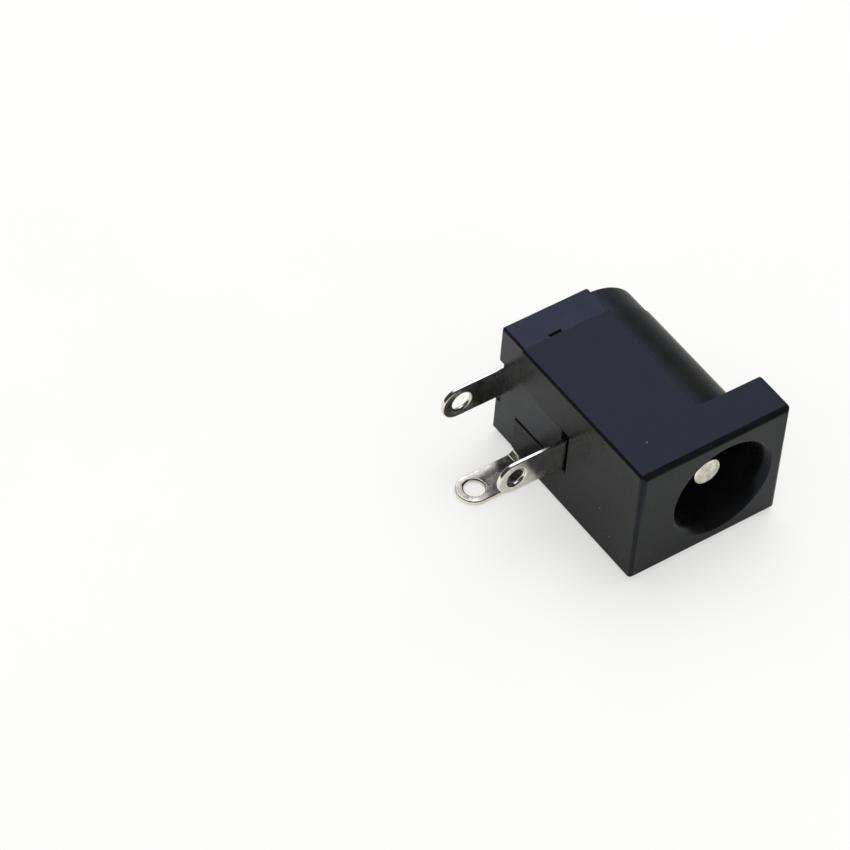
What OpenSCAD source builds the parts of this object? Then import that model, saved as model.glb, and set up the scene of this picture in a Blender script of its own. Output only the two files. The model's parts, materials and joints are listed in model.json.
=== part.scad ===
// DC power barrel jack, board mounted, with three solder lugs.
//
// X points out of the mouth along the plug's axis, Y points away from the board side,
// and Z runs across the jack. The origin is the centre of the mouth in the front face.
// The jack lies on its switch side, so that side is at the bottom, -Z.

/* [Housing] */
// Width across the jack
body_w = 9; // [8.8:0.1:9.4]
// Height of the front flange above the board side
flange_h = 11; // [10.8:0.1:11.4]
// Depth of the front flange
flange_t = 3.05; // [2.5:0.05:3.2]
// Length from the front face to the back of the rear cover
total_len = 14.4; // [14.2:0.1:15]
// Height of the plug's axis above the board side
axis_h = 6.4; // [6.3:0.1:6.6]
// Height of the square lower block above the board side
block_h = 6.5; // [6.4:0.05:6.6]
// Radius of the round barrel behind the flange
barrel_r = 4.1; // [4:0.05:4.2]
// Radius of the plug bore
bore_r = 3.2; // [3.15:0.05:3.25]
// How far the mouth's lead-in opens out at the front face
lead_w = 0.45; // [0.2:0.05:0.5]
// Radius of the mouth's rounded lead-in
lead_r = 0.9; // [0.5:0.05:1.2]
// Rounding of the housing's outer edges
edge_r = 0.2; // [0.1:0.05:0.3]
// Rounding of the flange's front edges
front_r = 0.4; // [0.2:0.05:0.5]

/* [Rear cover] */
// Thickness of the rear cover
cover_t = 2.2; // [2.1:0.05:2.3]
// How far the cover's barrel and board side stand in from the housing's
cover_inset = 0.07; // [0:0.01:0.12]
// Rounding of the cover's lower corner on the switch side
cover_corner_r = 0.45; // [0.2:0.05:0.6]
// Depth of the keyhole channel for the pin's terminal
channel_depth = 0.5; // [0.45:0.05:0.6]
// Width of the keyhole channel
channel_w = 3.3; // [3:0.1:3.5]
// Radius of the keyhole channel's round end
channel_r = 2.2; // [2.1:0.05:2.4]
// Width of the tongue that closes the board side behind the sleeve contact
tongue_w = 3.03; // [2.9:0.01:3.05]
// Height of the seam window's lower edge above the board side
window_y = 2.12; // [1.8:0.02:2.4]
// Width of the seam window on the upper side
window_w = 0.8; // [0.6:0.05:1]
// How far the seam window reaches back from the seam
window_t = 0.16; // [0.1:0.02:0.3]

/* [Centre pin] */
// Radius of the centre pin
pin_r = 1; // [0.95:0.05:1.05]
// Distance of the pin's flat tip behind the front face
pin_recess = 1.5; // [0.5:0.1:2]
// Rounding of the tip's edge
tip_r = 0.12; // [0:0.02:0.3]
// Radius of the pin's tail in the cover
tail_r = 1.25; // [1.2:0.05:1.3]
// Radius of the hollow in the tail
hollow_r = 0.92; // [0.8:0.02:1]
// Depth of the hollow in the tail
hollow_depth = 1.7; // [1:0.1:2]
// Radius of the rolled rim that rivets the terminal
rim_r = 1.58; // [1.45:0.01:1.65]

/* [Contacts] */
// Thickness of the sheet that the contacts are punched from
sheet_t = 0.3; // [0.25:0.05:0.3]
// Width of the pin's terminal and of the sleeve contact
blade_w = 2.36; // [2.2:0.02:2.5]
// Radius of the round head of the pin's terminal
head_r = 1.85; // [1.7:0.05:2]
// Reach of the pin's terminal below the board side
pin_lug_len = 4.25; // [3.5:0.05:5]
// Reach of the sleeve contact below the board side
sleeve_lug_len = 4.87; // [3.5:0.05:5.2]
// Reach of the switch contact below the board side
switch_lug_len = 4.88; // [3.5:0.05:5.2]
// Width of the switch contact
switch_w = 2.3; // [2.1:0.05:2.4]
// Radius of the eye in each lug
eye_r = 0.65; // [0.6:0.05:0.8]
// Distance of the eye's centre from the end of the pin's terminal
pin_eye_inset = 1.4; // [1.2:0.05:1.5]
// Distance of the eye's centre from the end of the sleeve contact
sleeve_eye_inset = 1.3; // [1.2:0.05:1.5]
// Distance of the eye's centre from the end of the switch contact
switch_eye_inset = 1.2; // [1.1:0.05:1.5]
// Distance of the sleeve contact's front face behind the front face
sleeve_x = 7.17; // [6.9:0.01:7.3]
// Distance of the switch contact's middle behind the front face
switch_x = 10.9; // [10.85:0.05:10.95]
// How far the switch lug is set out from the housing's side
switch_set = 0.25; // [0.1:0.05:0.3]

/* [Hidden] */
$fn = 96;

base_y = -axis_h;
side_z = body_w / 2;
back_x = -total_len;
seam_x = cover_t - total_len;
eps = 0.01;
gap = 0.02;

// Depth of the mouth's lead-in, from where its arc leaves the bore to the front face
lead_t = sqrt(pow(lead_r, 2) - pow(lead_r - lead_w, 2));

// The slot in the board side for the sleeve contact and the cover's tongue
slot_gap = 0.12;
slot_front_x = -sleeve_x + slot_gap;
slot_low_z = -1.58;
slot_high_z = 1.55;
tongue_front_x = -sleeve_x - 0.65;
tongue_top_y = base_y + 0.9;

// The spring channel under the bore
channel_front_x = -3.55;
spring_floor_y = base_y + 0.6;

// The spring's fold, its ramps and its free end
fold_x = -4.35;
fold_r = 0.5;
ramp_angle = 32;
fall_angle = 35;
crest_r = 0.8;
crest_y = base_y + 4;
free_end_y = base_y + 1.75;
free_end_len = 0.75;

// The boss on the cover that centres it in the bore
boss_x = seam_x + 1.3;
boss_r = bore_r - 0.08;
shoulder_t = 0.5;
shoulder_r = 1.7;

// The pin's terminal lies at the bottom of the keyhole channel
terminal_x = back_x + channel_depth;

// The switch contact's tab over the spring's free end
tab_y = free_end_y + sheet_t / 2 + eps;
tab_w = 0.8;
tab_reach = 0.6;
switch_back_x = -switch_x - switch_w / 2;
switch_front_x = -switch_x + switch_w / 2;
tab_inner_r = 0.15;
set_angle = 40;
set_bend_r = 0.3;

// Solids drawn on the YZ plane and drawn out along X
module along_x(x0, x1) {
    translate([x0, 0, 0]) rotate([90, 0, 90]) linear_extrude(x1 - x0) children();
}

// Solids drawn on the XZ plane and drawn out along Y
module along_y(y0, y1) {
    translate([0, y1, 0]) rotate([90, 0, 0]) linear_extrude(y1 - y0) children();
}

// Solids drawn on the XY plane and drawn out along Z
module along_z(z0, z1) {
    translate([0, 0, z0]) linear_extrude(z1 - z0) children();
}

// Rounds turned about the plug's axis; the profile's first number is the radius, its second is X
module turned() {
    rotate([0, 90, 0]) rotate_extrude() children();
}

// A rectangle with its own radius at each corner: low-low, high-low, high-high and low-high
module rounded_rectangle(low, high, radii) {
    corners = [low, [high[0], low[1]], high, [low[0], high[1]]];
    inward = [[1, 1], [-1, 1], [-1, -1], [1, -1]];
    difference() {
        translate(low) square(high - low);
        for (i = [0:3]) {
            if (radii[i] > 0) {
                centre = corners[i] + radii[i] * inward[i];
                difference() {
                    translate(centre - [inward[i][0] > 0 ? 2 * radii[i] : 0, inward[i][1] > 0 ? 2 * radii[i] : 0])
                        square(2 * radii[i]);
                    translate(centre) circle(radii[i], $fn = 48);
                }
            }
        }
    }
}

// Centreline of a folded sheet, as points with headings. Each step of the path is
// a straight run, then a bend in degrees, with the bend's radius at the centreline.
function trace(path, i = 0, start = [0, 0], heading = 0) =
    i == len(path) ? [] :
    let (
        step = path[i],
        corner = start + step[0] * [cos(heading), sin(heading)],
        side = sign(step[1]),
        centre = corner + side * step[2] * [-sin(heading), cos(heading)],
        parts = max(1, ceil(abs(step[1]) / 11)),
        bend = side == 0 ? [[corner, heading]] :
            [for (k = [0:parts])
                let (a = heading + step[1] * k / parts)
                [centre + side * step[2] * [sin(a), -cos(a)], a]]
    )
    concat(
        i == 0 ? [[start, heading]] : [],
        bend,
        trace(path, i + 1, bend[len(bend) - 1][0], heading + step[1])
    );

// Section of a folded sheet along a traced centreline
module sheet_section(line) {
    left = [for (p = line) p[0] + sheet_t / 2 * [-sin(p[1]), cos(p[1])]];
    right = [for (i = [len(line) - 1:-1:0]) line[i][0] - sheet_t / 2 * [-sin(line[i][1]), cos(line[i][1])]];
    polygon(concat(left, right));
}

// Outline of a lug with a round end that points down from the origin
module lug_outline(width, reach, top) {
    translate([-width / 2, width / 2 - reach]) square([width, reach - width / 2 + top]);
    translate([0, width / 2 - reach]) circle(width / 2);
}

// Outer form of the lower block between two planes across X
module block(x0, x1, low_y, high_y, lower_corner_r) {
    along_x(x0, x1)
        rounded_rectangle([low_y, -side_z], [high_y, side_z], [lower_corner_r, edge_r, edge_r, edge_r]);
}

module flange() {
    intersection() {
        along_x(-flange_t, 0)
            rounded_rectangle([base_y, -side_z], [base_y + flange_h, side_z], edge_r * [1, 1, 1, 1]);
        along_z(-side_z - 1, side_z + 1)
            rounded_rectangle([-flange_t, base_y], [0, base_y + flange_h], [0, front_r, front_r, edge_r]);
        along_y(base_y - 1, base_y + flange_h + 1)
            rounded_rectangle([-flange_t, -side_z], [0, side_z], [0, front_r, front_r, 0]);
    }
}

module housing() {
    color([0.09, 0.09, 0.11])
    difference() {
        union() {
            flange();
            block(seam_x, -flange_t + 1, base_y, base_y + block_h, edge_r);
            translate([seam_x, 0, 0]) rotate([0, 90, 0]) cylinder(r = barrel_r, h = -flange_t + 1 - seam_x);
        }
        // plug bore, open at the back until the cover closes it
        translate([seam_x - 1, 0, 0]) rotate([0, 90, 0]) cylinder(r = bore_r, h = 2 - seam_x);
        // rounded lead-in that meets the front face at an edge
        turned() difference() {
            translate([bore_r - 1, -lead_t]) square([1 + lead_w, lead_t + 1]);
            translate([bore_r + lead_r, -lead_t]) circle(lead_r);
        }
        // slot in the board side, filled by the cover's tongue
        translate([seam_x - 1, base_y - 1, slot_low_z])
            cube([slot_front_x - seam_x + 1, 1 + axis_h - 2, slot_high_z - slot_low_z]);
        // channel for the spring, open to the bore
        translate([slot_front_x - eps, spring_floor_y, slot_low_z])
            cube([channel_front_x - slot_front_x + eps, axis_h - 2.6, slot_high_z - slot_low_z]);
        // shallow seat in the switch side for the switch contact
        translate([seam_x - 1, base_y - 1, -side_z - 1])
            cube([switch_front_x + 0.05 - seam_x + 1, tab_y + sheet_t + 0.05 - base_y + 1, 1 + sheet_t]);
        // passage for the switch contact's tab
        translate([seam_x - 1, tab_y - tab_inner_r, -side_z])
            cube([switch_back_x + tab_w + 0.1 - seam_x + 1, tab_inner_r + sheet_t + 0.05, side_z + slot_low_z + eps]);
    }
}

module rear_cover() {
    low_y = base_y + cover_inset;
    high_y = base_y + block_h - cover_inset;
    round_r = barrel_r - cover_inset;
    color([0.08, 0.08, 0.1])
    difference() {
        union() {
            intersection() {
                block(back_x, seam_x, low_y, high_y, cover_corner_r);
                along_z(-side_z - 1, side_z + 1)
                    rounded_rectangle([back_x, low_y], [seam_x, high_y], [edge_r, 0, 0, 0]);
                along_y(low_y - 1, high_y + 1)
                    rounded_rectangle([back_x, -side_z], [seam_x, side_z], [edge_r, 0, 0, edge_r]);
            }
            turned() rounded_rectangle([0, back_x], [round_r, seam_x], [0, edge_r, 0, 0]);
            // boss that centres the cover in the bore
            translate([seam_x - 0.5, 0, 0]) rotate([0, 90, 0]) cylinder(r = boss_r, h = boss_x - seam_x + 0.5);
            // tongue under the spring
            translate([seam_x - 0.5, low_y, slot_high_z - gap - tongue_w])
                cube([tongue_front_x - seam_x + 0.5, tongue_top_y - low_y, tongue_w]);
        }
        // keyhole channel, open at the board side
        along_x(back_x - 1, terminal_x) {
            circle(channel_r);
            translate([low_y - 1, -channel_w / 2]) square([-low_y + 1, channel_w]);
        }
        // hole for the pin's tail
        translate([back_x - 1, 0, 0]) rotate([0, 90, 0]) cylinder(r = tail_r + gap, h = 2 - back_x);
        // small window at the seam on the upper side
        translate([seam_x - window_t, base_y + window_y, side_z - 0.6]) cube([1, window_w, 1]);
    }
}

module centre_pin() {
    rim_t = 0.18;
    color([0.86, 0.85, 0.8])
    difference() {
        union() {
            turned() rounded_rectangle([0, boss_x], [pin_r, -pin_recess], [0, 0, tip_r, 0]);
            // shoulder that seats on the cover's boss
            translate([boss_x, 0, 0]) rotate([0, 90, 0]) cylinder(r = shoulder_r, h = shoulder_t);
            translate([terminal_x - sheet_t - rim_t / 2, 0, 0]) rotate([0, 90, 0])
                cylinder(r = tail_r, h = boss_x - terminal_x + sheet_t + rim_t / 2 + eps);
            // tail rolled outward over the terminal
            turned() rounded_rectangle(
                [hollow_r, terminal_x - sheet_t - rim_t],
                [rim_r, terminal_x - sheet_t],
                [rim_t * 0.6, rim_t * 0.95, 0, 0]
            );
        }
        // hollow of the tail, with a drilled cone at its end
        turned() polygon([
            [0, terminal_x - sheet_t - 1],
            [hollow_r, terminal_x - sheet_t - 1],
            [hollow_r, terminal_x - sheet_t + hollow_depth],
            [0, terminal_x - sheet_t + hollow_depth + 0.3]
        ]);
    }
}

module pin_terminal() {
    half = blade_w / 2;
    neck_r = 0.8;
    neck_y = -sqrt(pow(head_r + neck_r, 2) - pow(half + neck_r, 2));
    eye_y = base_y - pin_lug_len + pin_eye_inset;
    color([0.8, 0.8, 0.77])
    difference() {
        along_x(terminal_x - sheet_t, terminal_x) {
            circle(head_r);
            translate([base_y, 0]) rotate(-90) lug_outline(blade_w, pin_lug_len, axis_h);
            // concave shoulders between the round head and the strip
            difference() {
                polygon([[0, 0], [neck_y, half + neck_r], [neck_y, -half - neck_r]]);
                for (side = [-1, 1]) translate([neck_y, side * (half + neck_r)]) circle(neck_r);
            }
        }
        translate([terminal_x - 1, 0, 0]) rotate([0, 90, 0]) cylinder(r = tail_r + gap, h = 2);
        translate([terminal_x - 1, eye_y, 0]) rotate([0, 90, 0]) cylinder(r = eye_r, h = 2);
    }
}

module sleeve_contact() {
    lug_x = -sleeve_x - sheet_t / 2;
    turn_r = slot_gap + sheet_t / 2;
    run_y = spring_floor_y + sheet_t / 2;
    rise = crest_y - sheet_t / 2 - (run_y + fold_r + fold_r * cos(ramp_angle)) - crest_r * (1 - cos(ramp_angle));
    fall = crest_y - sheet_t / 2 - free_end_y - (crest_r + 0.5) * (1 - cos(fall_angle));
    spring = trace([
        [run_y - turn_r - base_y, -90, turn_r],
        [fold_x - lug_x - turn_r, 180 - ramp_angle, fold_r],
        [rise / sin(ramp_angle), ramp_angle + fall_angle, crest_r],
        [fall / sin(fall_angle), -fall_angle, 0.5],
        [free_end_len, 0, 0]
    ], 0, [lug_x, base_y], 90);
    color([0.8, 0.8, 0.77])
    difference() {
        union() {
            along_z(-blade_w / 2, blade_w / 2) sheet_section(spring);
            along_x(lug_x - sheet_t / 2, lug_x + sheet_t / 2)
                translate([base_y, 0]) rotate(-90) lug_outline(blade_w, sleeve_lug_len, 0);
        }
        translate([lug_x - 1, base_y - sleeve_lug_len + sleeve_eye_inset, 0])
            rotate([0, 90, 0]) cylinder(r = eye_r, h = 2);
    }
}

module switch_contact() {
    seat_z = -side_z + sheet_t / 2;
    turn_r = tab_inner_r + sheet_t / 2;
    top_y = tab_y + sheet_t / 2;
    set_start_y = base_y + 0.1;
    set_run = (switch_set - 2 * set_bend_r * (1 - cos(set_angle))) / sin(set_angle);
    fold = trace([
        [tab_reach - seat_z - turn_r, -90, turn_r],
        [top_y - turn_r - set_start_y, set_angle, set_bend_r],
        [set_run, -set_angle, set_bend_r],
        [switch_lug_len, 0, 0]
    ], 0, [top_y, tab_reach], -90);
    color([0.8, 0.8, 0.77])
    difference() {
        intersection() {
            along_x(switch_back_x, switch_front_x) sheet_section(fold);
            along_z(-side_z - 1, tab_reach + 1) {
                translate([-switch_x, base_y]) lug_outline(switch_w, switch_lug_len, tab_y - base_y - 0.5);
                translate([switch_back_x, base_y]) square([tab_w, axis_h]);
            }
        }
        translate([-switch_x, base_y - switch_lug_len + switch_eye_inset, -side_z - 1]) cylinder(r = eye_r, h = 2);
    }
}

housing();
rear_cover();
centre_pin();
pin_terminal();
sleeve_contact();
switch_contact();
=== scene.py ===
"""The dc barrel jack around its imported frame: finishes, studio light and camera.

Everything is in metres and in the row's own frame.
"""

import json
import math

import bmesh
import bpy
from mathutils import Matrix, Vector


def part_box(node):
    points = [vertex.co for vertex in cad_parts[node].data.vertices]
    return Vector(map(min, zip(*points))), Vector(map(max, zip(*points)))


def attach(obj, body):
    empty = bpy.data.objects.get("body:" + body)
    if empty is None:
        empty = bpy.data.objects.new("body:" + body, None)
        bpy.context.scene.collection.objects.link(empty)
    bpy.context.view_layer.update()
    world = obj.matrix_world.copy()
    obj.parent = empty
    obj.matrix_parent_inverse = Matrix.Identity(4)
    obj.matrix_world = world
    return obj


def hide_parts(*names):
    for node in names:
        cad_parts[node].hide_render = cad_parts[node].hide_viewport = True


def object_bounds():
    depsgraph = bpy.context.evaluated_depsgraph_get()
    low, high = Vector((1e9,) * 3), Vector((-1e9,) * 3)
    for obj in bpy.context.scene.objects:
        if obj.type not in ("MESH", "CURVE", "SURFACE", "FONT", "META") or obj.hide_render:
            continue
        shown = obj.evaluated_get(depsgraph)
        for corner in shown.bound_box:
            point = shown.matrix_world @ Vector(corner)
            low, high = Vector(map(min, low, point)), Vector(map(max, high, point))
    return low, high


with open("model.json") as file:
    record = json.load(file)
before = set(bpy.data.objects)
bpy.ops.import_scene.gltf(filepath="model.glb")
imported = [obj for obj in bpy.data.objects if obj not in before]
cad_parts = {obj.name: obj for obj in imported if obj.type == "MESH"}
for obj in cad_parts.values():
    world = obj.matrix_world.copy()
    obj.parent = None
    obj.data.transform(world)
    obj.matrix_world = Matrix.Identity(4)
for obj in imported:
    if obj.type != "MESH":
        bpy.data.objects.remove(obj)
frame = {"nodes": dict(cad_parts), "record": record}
CAD_LOW, CAD_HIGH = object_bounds()
NODES = frame["nodes"]
MM = 0.001

# Camera: the point that it looks at, and where it stands from there
AIM = Vector((-16.90, -9.54, -4.75)) * MM
DISTANCE = 276.95 * MM
AZIMUTH = 51.60
ELEVATION = 47.69
ROLL = 4.96
LENS = 191.15
SENSOR = 36.0
NEAREST, FARTHEST = 0.01, 10


def make_camera():
    azimuth, elevation = math.radians(AZIMUTH), math.radians(ELEVATION)
    level = math.cos(elevation)
    back = Vector((math.sin(azimuth) * level, -math.cos(azimuth) * level, math.sin(elevation)))
    right = Vector((0, 0, 1)).cross(back).normalized()
    up = back.cross(right)
    turn = Matrix.Rotation(math.radians(ROLL), 3, back)
    right, up = turn @ right, turn @ up
    facing = Matrix((right, up, back)).transposed().to_4x4()
    camera = bpy.data.objects.new("Camera", bpy.data.cameras.new("Camera"))
    camera.data.lens = LENS
    camera.data.sensor_width = SENSOR
    camera.data.clip_start = NEAREST
    camera.data.clip_end = FARTHEST
    camera.matrix_world = Matrix.Translation(AIM + back * DISTANCE) @ facing
    bpy.context.scene.collection.objects.link(camera)
    bpy.context.scene.camera = camera


# Material making

class Nodes:
    """A node tree with short calls for what these materials use."""

    def __init__(self, tree):
        self.tree = tree
        tree.nodes.clear()

    def add(self, kind, inputs=None, **settings):
        node = self.tree.nodes.new(kind)
        for key, value in settings.items():
            setattr(node, key, value)
        for key, value in (inputs or {}).items():
            self.feed(node.inputs[key], value)
        return node

    def feed(self, socket, value):
        if isinstance(value, bpy.types.NodeSocket):
            self.tree.links.new(value, socket)
        else:
            socket.default_value = value

    def math(self, operation, a, b):
        node = self.add("ShaderNodeMath", operation=operation)
        self.feed(node.inputs[0], a)
        self.feed(node.inputs[1], b)
        return node.outputs[0]

    def noise(self, scale, detail, roughness, vector, distortion=0.0):
        inputs = {"Vector": vector, "Scale": scale, "Detail": detail}
        inputs.update({"Roughness": roughness, "Distortion": distortion})
        return self.add("ShaderNodeTexNoise", inputs).outputs["Fac"]

    def cells(self, scale, vector):
        return self.add("ShaderNodeTexVoronoi", {"Vector": vector, "Scale": scale}).outputs

    def ramp(self, value, low, high, to_low=0.0, to_high=1.0):
        inputs = {"Value": value, "From Min": low, "From Max": high, "To Min": to_low, "To Max": to_high}
        return self.add("ShaderNodeMapRange", inputs, interpolation_type="SMOOTHSTEP").outputs["Result"]

    def mix(self, share, a, b):
        node = self.add("ShaderNodeMix", data_type="RGBA")
        self.feed(node.inputs[0], share)
        self.feed(node.inputs[6], a)
        self.feed(node.inputs[7], b)
        return node.outputs[2]

    def bump(self, height, strength, distance, normal=None):
        node = self.add("ShaderNodeBump", {"Height": height, "Strength": strength, "Distance": distance})
        if normal is not None:
            self.feed(node.inputs["Normal"], normal)
        return node.outputs["Normal"]


def material(name):
    made = bpy.data.materials.new(name)
    made.use_nodes = True
    return made, Nodes(made.node_tree)


def grey(value):
    return (value, value, value, 1.0)


def finish_with(nodes, shader):
    output = nodes.add("ShaderNodeOutputMaterial")
    nodes.feed(output.inputs["Surface"], shader.outputs[0])


# The ranges of a noise's value that most ramps spread over
NOISE_MIDDLE, NOISE_WIDE = (0.35, 0.65), (0.3, 0.7)

# Plastic: texture scales in features per metre, then strengths and tones
FLOW_WAVES, TOOL_MARKS, CLOUDS, WEAR_PATCHES, DUST_CELLS = 420, 9000, 700, 2500, 900.0
DUSTY_CELLS = (0.80, 0.82)
DUST_RADIUS = (0.035, 0.055)
WORN_BEND = (0.97, 0.8)
WORN_PATCH = (0.42, 0.62)
WEAR_WIDTH = 0.12 * MM
WEAR_SHARE, DUST_SHARE = 0.5, 0.5
WORN_TONE, DUST_TONE = grey(0.05), grey(0.35)
CLOUD_GAIN = 1.35
SHEEN_SPREAD = (-0.03, 0.05)
TOOL_BUMP = (0.12, 0.012 * MM)
FLOW_BUMP = (0.25, 0.03 * MM)


def plastic(name, base, sheen, level, tint):
    """Injection-moulded black plastic: a faint tool texture, flow waviness, worn edges, a few dust specks."""
    made, n = material(name)
    place = n.add("ShaderNodeTexCoord").outputs["Object"]
    waviness = n.noise(FLOW_WAVES, 2, 0.4, place)
    tool = n.noise(TOOL_MARKS, 3, 0.6, place)
    cloud = n.noise(CLOUDS, 4, 0.55, place)
    specks = n.cells(DUST_CELLS, place)
    few = n.ramp(n.add("ShaderNodeSeparateColor", {0: specks["Color"]}).outputs["Red"], *DUSTY_CELLS)
    dust = n.math("MULTIPLY", n.ramp(specks["Distance"], *DUST_RADIUS, 1, 0), few)
    rounded = n.add("ShaderNodeBevel", {"Radius": WEAR_WIDTH}, samples=4)
    surface = n.add("ShaderNodeNewGeometry")
    bend = n.add("ShaderNodeVectorMath", operation="DOT_PRODUCT")
    n.feed(bend.inputs[0], rounded.outputs[0])
    n.feed(bend.inputs[1], surface.outputs["Normal"])
    patches = n.ramp(n.noise(WEAR_PATCHES, 3, 0.6, place), *WORN_PATCH)
    worn = n.math("MULTIPLY", n.ramp(bend.outputs["Value"], *WORN_BEND), patches)
    lighter = tuple(c * CLOUD_GAIN for c in base[:3]) + (1,)
    colour = n.mix(n.ramp(cloud, *NOISE_MIDDLE), base, lighter)
    colour = n.mix(n.math("MULTIPLY", worn, WEAR_SHARE), colour, WORN_TONE)
    colour = n.mix(n.math("MULTIPLY", dust, DUST_SHARE), colour, DUST_TONE)
    rough = n.ramp(cloud, *NOISE_WIDE, sheen + SHEEN_SPREAD[0], sheen + SHEEN_SPREAD[1])
    normal = n.bump(tool, *TOOL_BUMP)
    normal = n.bump(waviness, *FLOW_BUMP, normal)
    shader = n.add("ShaderNodeBsdfPrincipled", {"Base Color": colour, "Roughness": rough, "Normal": normal,
                                                "Specular IOR Level": level, "Specular Tint": tint})
    finish_with(n, shader)
    return made


# Metal: texture scales in features per metre, then strengths
GRAIN, PIT_CELLS = 12000, 2600.0
DRAWN_ALONG_Y = (9000.0, 700.0, 9000.0)
PIT_RADIUS = (0.10, 0.2)
PITTED = (0.48, 0.6)
PIT_TONE = grey(0.12)
HAZY = (0.35, 0.7)
RIPPLE_SHARE, DRAWN_SHARE = 0.8, 0.2
RIPPLE_BUMP = (0.15, 0.04 * MM)
GRAIN_BUMP = (0.06, 0.004 * MM)


def metal(name, base, dull, smooth, rough, spots, pits, ripples):
    """Tinned or plated metal: mottled tone, soft ripples of the dip, fine pits and drawn scratches."""
    made, n = material(name)
    place = n.add("ShaderNodeTexCoord").outputs["Object"]
    mottle = n.noise(spots, 4, 0.55, place)
    ripple = n.noise(ripples, 2, 0.4, place, 0.4)
    grain = n.noise(GRAIN, 2, 0.5, place)
    stretched = n.add("ShaderNodeMapping", {"Vector": place, "Scale": DRAWN_ALONG_Y})
    drawn = n.noise(1.0, 3, 0.6, stretched.outputs[0])
    near_pit = n.ramp(n.cells(PIT_CELLS, place)["Distance"], *PIT_RADIUS, 1, 0)
    pit = n.math("MULTIPLY", near_pit, n.ramp(mottle, *PITTED))
    colour = n.mix(n.ramp(mottle, *NOISE_MIDDLE), base, dull)
    colour = n.mix(n.math("MULTIPLY", pit, pits), colour, PIT_TONE)
    haze = n.ramp(mottle, *HAZY, smooth, rough)
    height = n.math("ADD", n.math("MULTIPLY", ripple, RIPPLE_SHARE), n.math("MULTIPLY", drawn, DRAWN_SHARE))
    normal = n.bump(height, *RIPPLE_BUMP)
    normal = n.bump(grain, *GRAIN_BUMP, normal)
    shader = n.add("ShaderNodeBsdfPrincipled", {"Base Color": colour, "Roughness": haze, "Normal": normal,
                                                "Metallic": 1.0})
    finish_with(n, shader)
    return made


BLUISH = (0.48, 0.58, 1.0, 1)
HOUSING_PLASTIC = plastic("HousingPlastic", (0.0066, 0.0067, 0.0060, 1), sheen=0.25, level=0.20, tint=BLUISH)
COVER_PLASTIC = plastic("CoverPlastic", (0.0068, 0.0069, 0.0062, 1), sheen=0.29, level=0.34, tint=BLUISH)

# Each metal's clean and dull colour with the roughness of each, then the scale of its spots,
# the strength of its pits and the scale of its ripples
TINNED = metal("TinnedContact", (0.90, 0.89, 0.85, 1), (0.80, 0.79, 0.75, 1), 0.13, 0.26,
               spots=900, pits=0.25, ripples=350)
SOLDERED = metal("SolderedContact", (0.98, 0.96, 0.84, 1), (0.88, 0.86, 0.76, 1), 0.16, 0.36,
                 spots=1200, pits=0.25, ripples=1100)
NICKEL = metal("PinPlating", (0.90, 0.88, 0.82, 1), (0.60, 0.58, 0.51, 1), 0.10, 0.20,
               spots=2000, pits=0.45, ripples=350)

# Edge radii in mm: the widest is the modifier's width, and every other edge takes its share of it
WIDEST, OUTER_EDGE, EYE_EDGE, LUG_EDGE, FINE_EDGE = 0.13, 0.10, 0.13, 0.085, 0.03
SHARP = math.radians(32)
FLAT = math.radians(0.4)
SAME_POINT = 1e-7

# Places on the CAD solids where the edges differ
COVER_DEPTH = 2.2 * MM
SEAM, SEAM_REACH = CAD_LOW.x + COVER_DEPTH, 0.05 * MM
FRONT_REACH = 0.01 * MM
MOUTH = 3.8 * MM
COVER_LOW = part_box("rear_cover")[0]
CORNER_DEPTH, CORNER_HEIGHT = 0.2 * MM, 0.45 * MM
EYES = [Vector(mount["pos_m"]) for mount in frame["record"]["mounts"] if mount["name"].endswith("_eye")]
EYE_REACH = 0.75 * MM


def at_mouth(middle):
    """Whether a point is on the mouth's edge in the front face, which is sharp at any angle."""
    return middle.x > -FRONT_REACH and math.hypot(middle.y, middle.z) < MOUTH


def at_back_corner(middle):
    """Whether a point is on the short creases where the cover's own roundings meet, low at the back."""
    return middle.x < COVER_LOW.x + CORNER_DEPTH and middle.z < COVER_LOW.z + CORNER_HEIGHT


def plastic_edge(middle):
    """Edge radius at a point of the moulded parts."""
    if at_mouth(middle) or at_back_corner(middle):
        return FINE_EDGE
    if abs(middle.x - SEAM) < SEAM_REACH:
        return 0.0
    return OUTER_EDGE


def metal_edge(middle):
    """Edge radius at a point of the punched strips, larger round the eyes."""
    if any((middle - eye).length < EYE_REACH for eye in EYES):
        return EYE_EDGE
    return LUG_EDGE


def pin_edge(middle):
    """Edge radius of the turned pin, the same all over."""
    return FINE_EDGE


PIECES = (
    # piece, node that it stands for, record's slot, finish, edge radius
    ("housing_shell", "housing", "housing", HOUSING_PLASTIC, plastic_edge),
    ("rear_cover_shell", "rear_cover", "rear_cover", COVER_PLASTIC, plastic_edge),
    ("plated_pin", "centre_pin", "centre_pin", NICKEL, pin_edge),
    ("pin_lug_strip", "pin_terminal", "pin_terminal", TINNED, metal_edge),
    ("sleeve_spring_strip", "sleeve_contact", "sleeve_contact", TINNED, metal_edge),
    ("switch_lug_strip", "switch_contact", "switch_contact", SOLDERED, metal_edge),
)


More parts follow.
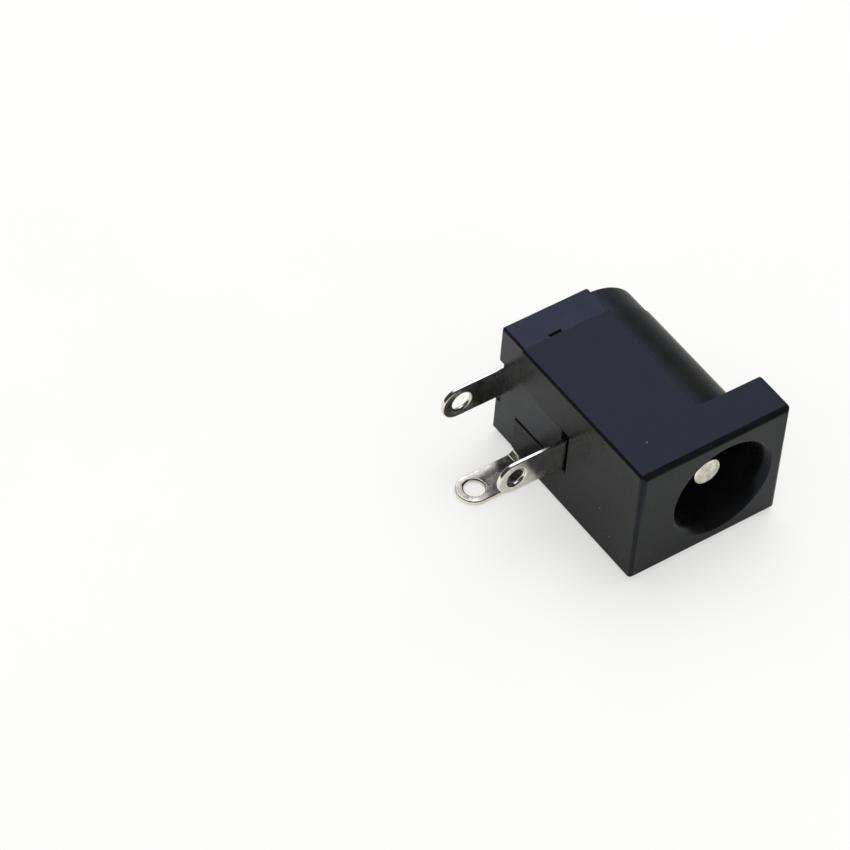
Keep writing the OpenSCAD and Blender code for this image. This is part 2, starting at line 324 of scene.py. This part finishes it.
def soften(name, node, slot, finish, radius_at):
    """A finer copy of a CAD node: whole faces in place of triangles, and every outer edge rounded."""
    mesh = bpy.data.meshes.new(name)
    form = bmesh.new()
    form.from_mesh(NODES[node].data)
    bmesh.ops.remove_doubles(form, verts=form.verts, dist=SAME_POINT)
    bmesh.ops.dissolve_limit(form, angle_limit=FLAT, verts=form.verts, edges=form.edges)
    weights = form.edges.layers.float.new("bevel_weight_edge")
    for edge in form.edges:
        middle = (edge.verts[0].co + edge.verts[1].co) / 2
        bend = edge.calc_face_angle_signed()
        if bend > SHARP or at_mouth(middle):
            edge[weights] = radius_at(middle) / WIDEST
        edge.smooth = edge[weights] > 0 or abs(bend) < SHARP
    for face in form.faces:
        face.smooth = True
    form.to_mesh(mesh)
    form.free()
    mesh.materials.append(finish)
    piece = bpy.data.objects.new(name, mesh)
    bpy.context.scene.collection.objects.link(piece)
    edges = piece.modifiers.new("Edges", "BEVEL")
    edges.limit_method = "WEIGHT"
    edges.width = WIDEST * MM
    edges.segments = 4
    edges.use_clamp_overlap = False
    normals = piece.modifiers.new("Normals", "WEIGHTED_NORMAL")
    normals.weight = 80
    normals.keep_sharp = True
    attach(piece, "root")
    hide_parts(node)


for entry in PIECES:
    soften(*entry)


# Studio

# The floor's paper, and what glossy surfaces see of it near the jack and beyond it, where a painted shade
# makes the floor darker in reflections only
FLOOR_SIDE = 1.2
PAPER, PAPER_LIGHT = (0.93, 0.93, 0.925, 1), (0.955, 0.955, 0.95, 1)
PAPER_CLOUDS = 60
MIRRORED_NEAR, PAINTED_SHADE_BEYOND = (0.91, 0.895, 0.79, 1), (0.34, 0.34, 0.31, 1)
BEYOND = (8 * MM, 16 * MM)
PLAIN = (1.0, 0.997, 0.985, 1)
PLAIN_TO_CAMERA, PLAIN_TO_GLOSS = 0.55, 0.16


def make_floor():
    side, low = FLOOR_SIDE, CAD_LOW.z
    corners = [(-side, -side, low), (side, -side, low), (side, side, low), (-side, side, low)]
    mesh = bpy.data.meshes.new("Floor")
    mesh.from_pydata(corners, [], [(0, 1, 2, 3)])
    floor = bpy.data.objects.new("Floor", mesh)
    made, n = material("FloorPaper")
    place = n.add("ShaderNodeTexCoord").outputs["Object"]
    tone = n.mix(n.ramp(n.noise(PAPER_CLOUDS, 3, 0.5, place), *NOISE_WIDE), PAPER, PAPER_LIGHT)
    path = n.add("ShaderNodeLightPath")
    # Painted shade: glossy rays see the floor much darker beyond the jack than it is lit, and camera and
    # diffuse rays see the plain paper
    beyond = n.ramp(n.add("ShaderNodeSeparateXYZ", {0: place}).outputs["Y"], *BEYOND)
    paper_with_reflected_painted_shade = n.mix(beyond, MIRRORED_NEAR, PAINTED_SHADE_BEYOND)
    paper_with_reflected_painted_shade = n.mix(path.outputs["Is Glossy Ray"], tone, paper_with_reflected_painted_shade)
    lit = n.add("ShaderNodeBsdfDiffuse", {"Color": paper_with_reflected_painted_shade})
    plain = n.add("ShaderNodeEmission", {"Color": PLAIN, "Strength": 1.0})
    share = n.math("ADD", n.math("MULTIPLY", path.outputs["Is Camera Ray"], PLAIN_TO_CAMERA),
                   n.math("MULTIPLY", path.outputs["Is Glossy Ray"], PLAIN_TO_GLOSS))
    shader = n.add("ShaderNodeMixShader", {0: share})
    n.feed(shader.inputs[1], lit.outputs[0])
    n.feed(shader.inputs[2], plain.outputs[0])
    finish_with(n, shader)
    mesh.materials.append(made)
    bpy.context.scene.collection.objects.link(floor)


# The room as glossy surfaces see it: a light panel high behind the jack, dim below it and dark elsewhere
PANEL, UNDER_PANEL, ELSEWHERE = (2.10, 2.10, 2.42, 1), grey(0.31), grey(0.04)
PANEL_HEIGHT = (0.48, 0.76)
BEHIND_X, BEHIND_Y = (-0.45, -0.15), (-0.3, 0.2)
# and the even light that everything else takes from it
EVEN_LOW, EVEN_HIGH = grey(0.75), (0.72, 0.72, 0.73, 1)
EVEN_HEIGHT = (-0.2, 0.5)


def make_world():
    world = bpy.data.worlds.new("Studio")
    world.use_nodes = True
    bpy.context.scene.world = world
    n = Nodes(world.node_tree)
    path = n.add("ShaderNodeLightPath")
    towards = n.add("ShaderNodeTexCoord").outputs["Generated"]
    direction = n.add("ShaderNodeSeparateXYZ", {0: towards}).outputs
    height = direction["Z"]
    behind = n.math("MULTIPLY", n.ramp(direction["X"], *BEHIND_X, 1, 0), n.ramp(direction["Y"], *BEHIND_Y))
    panel = n.mix(n.ramp(height, *PANEL_HEIGHT), UNDER_PANEL, PANEL)
    sky = n.mix(behind, ELSEWHERE, panel)
    even = n.mix(n.ramp(height, *EVEN_HEIGHT), EVEN_LOW, EVEN_HIGH)
    tone = n.mix(path.outputs["Is Glossy Ray"], even, sky)
    tone = n.mix(path.outputs["Is Camera Ray"], tone, grey(1.0))
    background = n.add("ShaderNodeBackground", {"Color": tone, "Strength": 1.0})
    output = n.add("ShaderNodeOutputWorld")
    n.feed(output.inputs["Surface"], background.outputs[0])


def softbox(name, towards, distance, size, power):
    """A square light that makes the shadow and no reflection."""
    light = bpy.data.lights.new(name, "AREA")
    light.shape = "SQUARE"
    light.size = size
    light.energy = power
    placed = bpy.data.objects.new(name, light)
    placed.visible_glossy = False
    back = Vector(towards).normalized()
    facing = back.to_track_quat("Z", "Y").to_matrix().to_4x4()
    placed.matrix_world = Matrix.Translation(back * distance) @ facing
    bpy.context.scene.collection.objects.link(placed)


bpy.context.scene.view_settings.view_transform = "Standard"
make_camera()
make_floor()
make_world()
softbox("Overhead", towards=(-0.25, 0.3, 1.0), distance=0.5, size=0.35, power=1.0)
